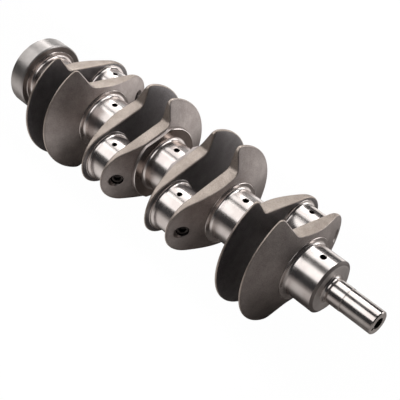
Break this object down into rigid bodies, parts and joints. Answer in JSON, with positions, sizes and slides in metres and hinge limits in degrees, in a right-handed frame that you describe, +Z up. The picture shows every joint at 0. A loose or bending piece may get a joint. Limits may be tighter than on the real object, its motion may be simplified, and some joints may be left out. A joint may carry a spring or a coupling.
{
  "type": "engine crankshaft",
  "caption": "Forged engine crankshaft with ground journals, throws in one plane, webs with thin-edged counterweights, a slim nose and a thick flywheel flange.",
  "frame": {"origin": "centre of the middle main journal, on the shaft axis", "axes": "+X along the shaft axis towards the nose, +Y towards crankpins 1 and 4, +Z up, square to the plane of the throws"},
  "size_m": [0.4791, 0.1366, 0.1222],
  "materials": {
    "forged_steel": "shot-peened forged steel, matt brown-grey",
    "ground_steel": "ground and micropolished, near mirror",
    "nose_steel": "ground, bright",
    "flange_steel": "turned faces and a fine ground rim",
    "plug_steel": "blackened steel"
  },
  "bodies": {
    "root": {"nose": "nose_steel", "main_journal_1": "ground_steel", "main_journal_2": "ground_steel", "main_journal_3": "ground_steel", "main_journal_4": "ground_steel", "main_journal_5": "ground_steel", "crankpin_1": "ground_steel", "crankpin_2": "ground_steel", "crankpin_3": "ground_steel", "crankpin_4": "ground_steel", "crank_web_1": "forged_steel", "crank_web_2": "forged_steel", "crank_web_3": "forged_steel", "crank_web_4": "forged_steel", "crank_web_5": "forged_steel", "crank_web_6": "forged_steel", "crank_web_7": "forged_steel", "crank_web_8": "forged_steel", "flywheel_flange": "flange_steel", "gallery_plugs": "plug_steel"}
  },
  "joints": []
}
